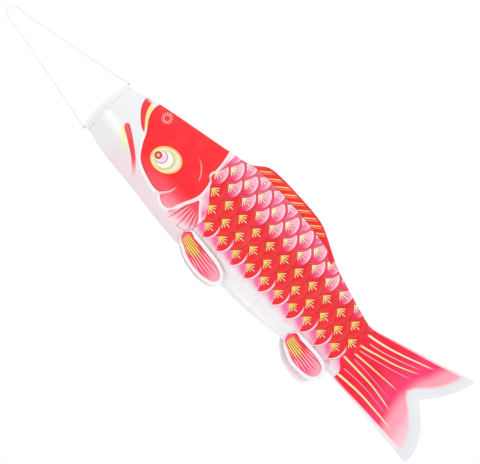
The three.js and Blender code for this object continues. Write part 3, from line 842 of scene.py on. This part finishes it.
def printed_cloth(name, first, last):
    """The cloth from one place to another, with the layers of the print that reach into it."""
    paint = Paint(name)
    paint.feed(paint.shader.inputs["Specular IOR Level"], 0.2)
    p, q = paint.uv("print")
    p, q = p * 1000, q * 1000
    if first < 300:
        lay_mouth(paint, p, q)
    else:
        paint.base("#F1F0F3")
    if last > 265:
        zone = paint.inside(p - paint.curve(q, GILL_FRONT), 1.4) * paint.inside(q + 66, 10) if first < 300 else 1.0
        if last > 960:
            zone = paint.spread(p, 775, 774)
        lay_scales(paint, p, q, zone)
    if last > 300:
        lay_belly(paint, p, q)
    if first < 590 and last > 310:
        lay_back_fin(paint, p, q)
    if first < 300:
        lay_gill(paint, p, q)
        lay_head(paint, p, q)
        lay_eye(paint, p, q)
        lay_fan(paint, p, q)
    if last > 960:
        lay_tail(paint, p, q)
    # Inside the tube the print shows through weakly.
    paint.lay("#EDE6E9", paint.attribute("inner") * 0.55)
    return weave(paint, p, q)

# ---- Cloth tube ----------------------------------------------------------------------------------
# Each piece lies across one bend of the part: name, first and last place, the two bodies, where the
# bending starts and ends, and the sections of the part that it stands for.
PIECES = [
    ("front", HEM_DEPTH / 2 + 1, 330, "head", "fore_body", 232, 318, ["head"]),
    ("middle", 330, 535, "fore_body", "mid_body", 400, 520, ["fore"]),
    ("hind", 535, 700, "mid_body", "rear_body", 548, 630, ["mid"]),
    ("tail", 700, 1003, "rear_body", "tail", 710, 820, ["rear", "tail"]),
]
COLUMN = 3.2
LAP = 3.0  # each piece starts a little under the one before it
ROWS = 81
WAVE = 5.0  # how far the end of the tail waves to the side


def flutter(place, height):
    """How far the tail's cloth waves to the side."""
    reach = smoothstep(place, 790, 1003)
    return WAVE * reach * np.sin(place / 27 + height / 70 + 0.7)


def creases(place, girth, from_back, from_belly, side):
    """How far the cloth stands out of its smooth shape: puckers at seams and hem, and soft folds."""
    fold = np.zeros_like(place)
    for distance, shift in ((from_back, 0.0), (from_belly, 2.1)):
        near = distance / 6 * np.exp(1 - distance / 6)
        beat = np.sin(place / 2.3 + 1.4 * np.sin(place / 31 + side) + shift) + 0.5 * np.sin(place / 1.27 + shift)
        fold += 0.42 * near * beat
    around = from_back / (from_back + from_belly)
    gather = np.exp(-np.maximum(place - HEM_DEPTH, 0) / 26) * smoothstep(place, 8, 24)
    fold += gather * (0.8 * np.sin(around * 74 + side) + 0.5 * np.sin(around * 47 + 1.7))
    clear = smoothstep(np.minimum(from_back, from_belly), 2, 38) * smoothstep(place, 14, 70)
    soft = np.sin(place / 43 + 3.2 * around + side) * np.sin(around * 9.5 - place / 95)
    soft += 0.6 * np.sin(place / 23 - 5 * around) * np.sin(around * 15 + place / 61)
    slack = 1.5 + 0.9 * smoothstep(place, 760, 900)
    return fold + slack * clear * soft


def row_place(start, end, turn, columns):
    """Places of one row's points, up to the trailing edge of the tail."""
    places = np.broadcast_to(np.linspace(start, end, columns), (len(turn), columns)).copy()
    if end > 1000:
        stop = np.full(len(turn), 960.0)
        for _ in range(20):
            _, height = flank(stop, girths_at(stop, turn))
            stop = 0.5 * stop + 0.5 * trailing_edge(height)
        places = start + (stop[:, None] - start) * np.linspace(0, 1, columns)[None]
    return places


EYE = np.array(camera.location) / MM


def print_place(points):
    """Place and height at which points of either flank show against the fish's middle plane."""
    flank_points = points.copy()
    flank_points[..., 1] = np.sign(EYE[1]) * np.abs(points[..., 1])
    share = EYE[1] / (EYE[1] - flank_points[..., 1:2])
    seen = EYE + (flank_points - EYE) * share
    return np.stack([seen[..., 0] - BRIDLE_REACH, seen[..., 2]], -1)


def panel(name, start, end, side, material):
    turn = np.cos(np.linspace(0, math.pi, ROWS))
    first = start if start < HEM_DEPTH else start - LAP
    columns = int(round((end - first) / COLUMN)) + 1
    place = row_place(first, end, turn, columns)
    girth = girths_at(place, turn[:, None])
    skins = []
    for inset in (0.0, CLOTH):
        out, height = flank(place, girth, inset)
        skins.append(np.stack([BRIDLE_REACH + place, side * out, height], -1))
    outer, inner = skins
    arc = np.linalg.norm(np.diff(outer, axis=0), axis=-1)
    from_back = np.concatenate([np.zeros((1, columns)), np.cumsum(arc, axis=0)])
    from_belly = from_back[-1:] - from_back
    fold = creases(place, girth, from_back, from_belly, side)
    if first < start:
        fold -= 0.2 * (1 - smoothstep(place, start - LAP, start + 1))
    normal = grid_normals(outer) * -side
    uv = print_place(outer).reshape(-1, 2)
    sway = flutter(place, outer[..., 2])
    for skin in (outer, inner):
        skin += normal * fold[..., None]
        skin[..., 1] += sway
    points, faces, rim = shell(outer, inner, side == RIGHT)
    values = {"inner": np.repeat([0.0, 1.0], outer.shape[0] * outer.shape[1])}
    return add_mesh(name, points, faces, material, rim, np.concatenate([uv, uv]), values)


SEAM_STEP = 1.1
SEAM_RADIUS = 0.6


def seam(name, start, end, line, up, material):
    """The stitched ridge of a seam: the cloth's own edge, pinched by each stitch."""
    end = min(end, 991 if up > 0 else 997)
    start = max(start, HEM_DEPTH + GAP)
    place = np.linspace(start, end, int((end - start) / SEAM_STEP))
    height = line(place)
    path = np.stack([BRIDLE_REACH + place, flutter(place, height), height + up * 0.35], -1)
    radius = SEAM_RADIUS * (1 + 0.22 * np.sin(place * 2 * math.pi / 3.3))
    made = tube(path, radius, 8)
    uv = np.repeat(np.stack([place, height - up * 2.4], -1), 8, axis=0)
    return add_tubes(name, [(made[0], made[1], uv)], material)


def bend(piece, bodies, start, end):
    (BRIDLE_REACH + start) * MM
    (BRIDLE_REACH + end) * MM
    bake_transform(piece)


for name, start, end, a, b, bend_start, bend_end, sections in PIECES:
    material = printed_cloth(f"printed cloth, {name}", start, end)
    for side_name, side in SIDES.items():
        piece = panel(f"{name}_cloth_{side_name}", start, end, side, material)
        bend(piece, (a, b), bend_start, bend_end)
        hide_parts(*[f"{section}_panel_{side_name}" for section in sections])
    for line_name, line, up in (("back", back_line, 1), ("belly", belly_line, -1)):
        piece = seam(f"{name}_{line_name}_seam_ridge", start, end, line, up, material)
        bend(piece, (a, b), bend_start, bend_end)
        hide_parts(*[f"{section}_{line_name}_seam" for section in sections])

# ---- Mouth ---------------------------------------------------------------------------------------
HEM_CLOTH = 0.8
HEM_FOLD = 3.3
HEM_TUCK = 8.2
HEM_STEPS = 240
HEM_STITCH = 12.4  # place of the stitches


def hem_material():
    paint = Paint("white hem cloth")
    paint.feed(paint.shader.inputs["Specular IOR Level"], 0.25)
    p, q = paint.uv("print")
    p, q = p * 1000, q * 1000
    paint.base("#EFEEF1")
    # Painted highlight: a brighter stripe round the rolled fold of the hem.
    paint.lay("#FFFFFF", paint.stripe(p - 3, 2, 4) * 0.4)
    # Painted shade: a grey line in the crease where the stitches pinch the hem.
    paint.lay("#E0E0E6", paint.stripe(p - HEM_STITCH, 0.8, 2.2) * 0.5)
    paint.lay("#E6E5EA", paint.noise(p * 0.4, q, 0.12, 3.0).most(0) * 0.8)
    return weave(paint, p, q, 0.25)


def hem():
    """A band of cloth folded round the hoop, pinched where it is stitched."""
    leg = CAD_CLOTH / 2 + GAP
    turns = np.radians(np.linspace(-30, 210, 19))

    def profile(radius, leg):
        outer_leg = [(HOOP_RADIUS + leg, x) for x in np.linspace(HEM_DEPTH, HEM_TUCK, 7)]
        inner_leg = [(HOOP_RADIUS - leg, x) for x in np.linspace(HEM_TUCK, HEM_DEPTH, 7)]
        fold = [(HOOP_RADIUS + radius * math.cos(a), HOOP_PLACE - radius * math.sin(a)) for a in turns]
        return np.array([*outer_leg, *fold, *inner_leg])

    outside = profile(HEM_FOLD, leg + HEM_CLOTH)
    inside = profile(HEM_FOLD - HEM_CLOTH, leg)
    around = np.arange(HEM_STEPS) * 2 * math.pi / HEM_STEPS
    wave = 0.2 * np.sin(around * 29) + 0.12 * np.sin(around * 47 + 1) + 0.2 * np.sin(around * 9)
    skins = []
    for skin in (outside, inside):
        loose = smoothstep(np.abs(skin[:, 1] - HEM_STITCH), 0.5, 4)
        reach = skin[None, :, 0] + wave[:, None] * loose * 0.5
        depth = skin[None, :, 1] + wave[:, None] * 0.5 * loose * (skin[None, :, 1] > HEM_FOLD + 1)
        skins.append(np.stack([BRIDLE_REACH + depth, reach * np.sin(around)[:, None], reach * np.cos(around)[:, None]], -1))
    columns = len(outside)
    n = HEM_STEPS * columns
    ring = np.arange(HEM_STEPS) * columns
    nxt = np.roll(ring, -1)
    rims = [np.stack([ring, ring + n, nxt + n, nxt], -1)]
    rims.append(np.stack([ring, nxt, nxt + n, ring + n], -1) + columns - 1)
    faces = np.concatenate([
        grid_faces(HEM_STEPS, columns, 0, False, True), grid_faces(HEM_STEPS, columns, n, True, True), *rims,
    ])
    place = np.abs(np.concatenate([outside[:, 1], inside[:, 1]]).reshape(2, 1, columns))
    uv = np.stack(np.broadcast_arrays(place, HOOP_RADIUS * around[None, :, None]), -1).reshape(-1, 2)
    points = np.concatenate([skin.reshape(-1, 3) for skin in skins])
    return add_mesh("folded_hem", points, faces, hem_material(), uv=uv)


hem_band = hem()
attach(hem_band, "head")
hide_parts("mouth_hem")

STITCHES = 116
stitch_tubes = []
for i in range(STITCHES):
    middle = 2 * math.pi * i / STITCHES
    angles = middle + np.linspace(-0.36, 0.36, 5) * 2 * math.pi / STITCHES
    reach = HOOP_RADIUS + 1.6 + 0.16 * np.array([0, 0.8, 1, 0.8, 0])
    x = np.full(5, BRIDLE_REACH + HEM_STITCH + 0.1 * math.sin(i * 2.4))
    path = np.stack([x, reach * np.sin(angles), reach * np.cos(angles)], -1)
    stitch_tubes.append(tube(path, 0.26 * np.array([0.6, 1, 1, 1, 0.6]), 6))
hem_stitches = add_tubes("hem_stitches", stitch_tubes, THREAD_WHITE)
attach(hem_stitches, "head")

# A loop of the string goes round the folded hem under each knot.
for name, up in (("upper", 1), ("lower", -1)):
    t = np.linspace(0, 2 * math.pi, 40, endpoint=False)
    centre = np.array([BRIDLE_REACH + HOOP_PLACE, 0, up * HOOP_RADIUS])
    path = centre + np.stack([np.cos(t), 0.35 * np.sin(t), np.sin(t)], -1) * (HEM_FOLD + 0.75)
    made = tube(path, STRING / 2 * 0.9, 10, closed=True, lobes=3, depth=0.2, turns_per_mm=0.14)
    loop = add_tubes(f"string_loop_{name}", [made], STRING_WHITE)
    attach(loop, "head")


def plastic(name, colour, dark):
    """Extruded plastic with fine lines along it."""
    paint = Paint(name, 0.4)
    place = paint.node("TexCoord", output=3)
    inputs = [("Vector", place), ("Scale", 900.0), ("Detail", 2.0)]
    grain = Num(paint, paint.node("TexNoise", inputs))
    paint.base(colour)
    paint.lay(dark, paint.spread(grain, 0.45, 0.75) * 0.4)
    paint.shade(grain, 0.05 * MM, 0.4)
    return paint.done(paint.spread(grain, 0.3, 0.7, 0.35, 0.5))


for node, material in (
    ("mouth_hoop", plastic("hoop plastic", "#E8E8EA", "#CFCFD4")),
    ("hoop_ferrule", plastic("ferrule plastic", "#C8C8CC", "#A9A9B0")),
):
    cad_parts[node].data.materials.clear()
    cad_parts[node].data.materials.append(material)

# ---- Fins ----------------------------------------------------------------------------------------
FINS = [
    {"name": "pectoral", "at": 319, "tilt": 26, "droop": 10, "length": 134, "upper": 23, "lower": 37, "drop": 9, "sag": 3},
    {"name": "pelvic", "at": 632, "tilt": 20, "droop": 8, "length": 116, "upper": 27.5, "lower": 35.5, "drop": 13, "sag": 13},
]
FIN_FRONT = -2
FIN_OUT = 1.8  # from the flank to the fin
FIN_CLOTH = 1.1
FIN_GIRTH = math.cos(math.pi * 12 / 16)
RAY_ORIGIN = 74  # how far before the fin its rays would meet
RAY_SPREAD = 0.047


def fin_material(fin):
    """Red at the root, pink at the tip, yellow rays and a white border."""
    paint = Paint(f"printed fin cloth, {fin['name']}")
    paint.feed(paint.shader.inputs["Specular IOR Level"], 0.2)
    u, v = paint.uv("print")
    u, v = u * 1000, v * 1000
    depth = paint.attribute("rim")  # distance from the fin's outline
    length = fin["length"]
    paint.base("#F7F3F5")
    border = paint.spread(u, -2, 24, 0.5, 8.6)
    zone = paint.inside(depth - border, 1.6)
    paint.lay("#FBDDE4", paint.inside(depth - border + 2.6, 3) * 0.9)
    paint.lay("#F23A49", zone)
    paint.lay("#F84F7B", zone * paint.spread(u, 0.34 * length, 0.56 * length, smooth=True) * 0.9)
    paint.lay("#F7A6B8", zone * paint.spread(u + v * 0.5, 0.52 * length, 0.85 * length, smooth=True))
    paint.lay("#FA4F79", zone * paint.inside(9 + border - depth, 7) * paint.inside(-4 - v, 8) * paint.spread(u, 0.8 * length, 0.6 * length) * 0.8)
    middle = v + fin["drop"] + 7
    turn = middle / (u + RAY_ORIGIN)
    width = (u + RAY_ORIGIN) * RAY_SPREAD
    half = paint.spread(u, 0.28 * length, 0.7 * length, 13.5, 4)
    root = paint.inside(u - 9, 5) * paint.inside(depth - border - 2, 3)
    heart = root * paint.inside(half - middle.size(), 5)
    ray = ((turn / RAY_SPREAD).do("FRACT") - 0.5).size() * width
    paint.lay("#E8783C", paint.spread(u, 0.46 * length, 0.2 * length) * heart * 0.7)
    paint.lay("#94241F", paint.inside(ray - width * 0.3, 0.9) * paint.spread(u, 0.62 * length, 0.4 * length) * heart * 0.8)
    paint.lay("#FFE37A", paint.inside(width * 0.27 - ray, 0.9) * paint.spread(u, 0.5 * length, 0.38 * length) * heart)
    paint.lay("#FFD9D2", paint.inside(0.9 - ray, 1.0) * paint.stripe(u - 0.58 * length, 0.14 * length, 16) * root * 0.9)
    vein = ((turn / RAY_SPREAD * 0.5).do("FRACT") - 0.5).size() * width * 2
    paint.lay("#C2305C", paint.inside(0.5 - vein, 1.4) * root * paint.stripe(u - 0.74 * length, 0.1 * length, 14) * 0.75)
    paint.lay("#A81D3F", paint.stripe(depth - border - 0.9, 0.9, 1.4) * paint.spread(v, -8, 6) * paint.spread(u, 0.95 * length, 0.8 * length) * 0.85)
    paint.lay("#FFF6F9", paint.attribute("inner") * 0.86)
    return weave(paint, u, v, 0.15)


def fin_outline(fin):
    """The leaf's outline as points along and up, from its front over the top and back."""
    up, low, drop = fin["upper"], fin["lower"], fin["drop"]
    leaf = [
        (0.05, 0.68 * up), (0.2, 0.84 * up), (0.38, 0.93 * up), (0.65, up), (0.87, 0.83 * up), (0.98, 0.3 * up),
        (0.995, -0.22 * low), (0.92, -0.62 * low), (0.74, -0.89 * low), (0.46, -low), (0.22, -0.82 * low),
        (0.04, -0.47 * low),
    ]
    route = [(FIN_FRONT, -drop), *[(share * fin["length"], height - drop) for share, height in leaf], (FIN_FRONT, -drop)]
    path = smooth_path([(x, y, 0) for x, y in route], 1.2)[:, :2]
    return path


def fin_piece(fin, side, side_name, material):
    outline = fin_outline(fin)
    tip = int(np.argmax(outline[:, 0]))
    top, under = outline[: tip + 1], outline[tip:][::-1]
    share = 0.5 - 0.5 * np.cos(np.linspace(0, math.pi, 61))
    u = FIN_FRONT + share * (outline[tip, 0] - FIN_FRONT)
    high = np.interp(u, np.maximum.accumulate(top[:, 0]), top[:, 1])
    low = np.interp(u, np.maximum.accumulate(under[:, 0]), under[:, 1])
    across = np.linspace(1, 0, 33)[:, None]
    v = low[None] + (high - low)[None] * across
    u = np.broadcast_to(u[None], v.shape)
    flat = np.stack([u, v], -1).reshape(-1, 2)
    rim = np.sqrt(((flat[:, None] - outline[None]) ** 2).sum(-1)).min(1)
    s = np.clip(u / fin["length"], 0, 1)
    middle = 2 * across - 1
    billow = 4.0 * np.sin(math.pi * s**0.8) * (1 - middle**2) + 3.0 * s**2 * middle**2
    pleat = 0.5 * np.sin(15 * 2 * math.pi * (v + fin["drop"]) / (u + 12) * 0.5) * smoothstep(s, 0.08, 0.3) * (1 - s)
    out = FIN_OUT + billow + pleat + 1.2 * s * np.sin(u / 9 + v / 14)
    droop = math.radians(fin["droop"] + (fin["sag"] if side == RIGHT else 0))
    lean = -side * math.radians(fin["tilt"])
    root_out, root_height = flank(fin["at"], FIN_GIRTH)
    skins = []
    for thick in (FIN_CLOTH, 0.0):
        x, y, z = u, side * (out + thick), v
        x, z = x * math.cos(droop) + z * math.sin(droop), z * math.cos(droop) - x * math.sin(droop)
        y, z = y * math.cos(lean) - z * math.sin(lean), y * math.sin(lean) + z * math.cos(lean)
        skins.append(np.stack([BRIDLE_REACH + fin["at"] + x, side * root_out + y, root_height + z], -1))
    points, faces, edge = shell(*skins, side == RIGHT)
    piece = add_mesh(
        f"{fin['name']}_fin_cloth_{side_name}", points, faces, material, edge,
        np.concatenate([flat, flat]), {"rim": np.concatenate([rim, rim]), "inner": np.repeat([0.0, 1.0], len(rim))},
    )
    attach(piece, f"{fin['name']}_{side_name}")
    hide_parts(f"{fin['name']}_fin_{side_name}")


def tack_piece(fin, side, side_name):
    """Five turns of thread between the flank and the fin."""
    lean = -side * math.radians(fin["tilt"])
    root_out, root_height = flank(fin["at"], FIN_GIRTH)
    tubes = []
    for i in range(5):
        t = np.linspace(0, 1, 7)
        y = side * (-0.2 + 2.6 * t)
        z = (i - 2) * 1.9 + 0.5 * np.sin(t * math.pi)
        x = 0.4 * np.sin(i * 2.0) + 0 * t
        path = np.stack([
            BRIDLE_REACH + fin["at"] + x,
            side * root_out + y * math.cos(lean) - z * math.sin(lean),
            root_height + y * math.sin(lean) + z * math.cos(lean),
        ], -1)
        tubes.append(tube(path, 0.4, 8))
    piece = add_tubes(f"{fin['name']}_tack_thread_{side_name}", tubes, THREAD_WHITE)
    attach(piece, "fore_body" if fin["name"] == "pectoral" else "rear_body")
    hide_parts(f"{fin['name']}_tack_{side_name}")


for fin in FINS:
    material = fin_material(fin)
    for side_name, side in SIDES.items():
        fin_piece(fin, side, side_name, material)
        tack_piece(fin, side, side_name)

# ---- Floor ---------------------------------------------------------------------------------------
floor_paint = Paint("floor", 0.9)
floor_paint.base("#FFFFFF")
FLOOR = 20000
floor = add_mesh(
    "floor",
    [(-FLOOR, -FLOOR, -2000), (FLOOR, -FLOOR, -2000), (FLOOR, FLOOR, -2000), (-FLOOR, FLOOR, -2000)],
    [(0, 1, 2, 3)],
    floor_paint.done(),
)
